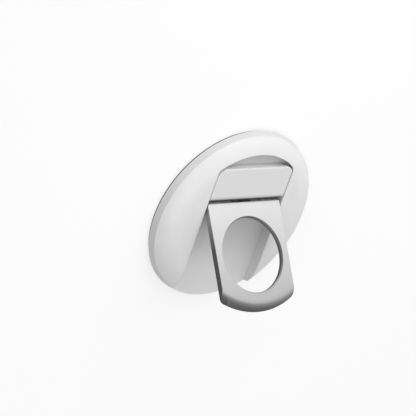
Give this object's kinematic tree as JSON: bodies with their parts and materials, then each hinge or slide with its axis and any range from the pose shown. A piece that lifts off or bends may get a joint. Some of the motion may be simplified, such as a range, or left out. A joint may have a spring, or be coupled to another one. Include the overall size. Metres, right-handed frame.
{
  "type": "magnetic phone mounting bracket",
  "caption": "Round magnetic phone mount with a hinged finger ring that folds into its channel and a hinged hook plate that hangs on the edge of a lid.",
  "frame": {"origin": "centre of the face that lies on the phone", "axes": "+Z out of the back of the bracket, +Y from the finger ring towards the hook plate, +X to the right seen from behind"},
  "size_m": [0.0674, 0.0674, 0.0315],
  "materials": {
    "housing": "white satin moulding",
    "plate": "pale satin",
    "ring_metal": "bead-blasted satin",
    "pad": "soft matt silicone",
    "grip": "matt",
    "tray": "moulded",
    "block": "die cast, grey",
    "steel": "plain",
    "spring_steel": "tempered",
    "magnet": "nickel plated"
  },
  "bodies": {
    "housing": {"rear_housing": "housing", "face_pad": "pad", "magnet_tray": "tray", "yoke_ring": "steel", "hinge_block": "block", "block_screws": "steel", "ring_clip_left": "spring_steel", "ring_clip_right": "spring_steel", "hook_clip": "spring_steel", "magnet_01": "magnet", "magnet_02": "magnet", "magnet_03": "magnet", "magnet_04": "magnet", "magnet_05": "magnet", "magnet_06": "magnet", "magnet_07": "magnet", "magnet_08": "magnet", "magnet_09": "magnet", "magnet_10": "magnet", "magnet_11": "magnet", "magnet_12": "magnet", "magnet_13": "magnet", "magnet_14": "magnet", "magnet_15": "magnet", "magnet_16": "magnet"},
    "ring": {"grip_ring": "ring_metal", "ring_pin": "steel"},
    "hook": {"hook_plate": "plate", "hook_pin": "steel", "hook_grip": "grip"}
  },
  "joints": [
    {"name": "ring_hinge", "type": "hinge", "parent": "housing", "child": "ring", "pos_m": [0, 0.00583, 0.00442], "axis": [-1, 0, 0], "range_deg": [-43.3, 46.7]},
    {"name": "hook_hinge", "type": "hinge", "parent": "housing", "child": "hook", "pos_m": [0, 0.0113, 0.0049], "axis": [1, 0, 0], "range_deg": [0, 90]}
  ]
}
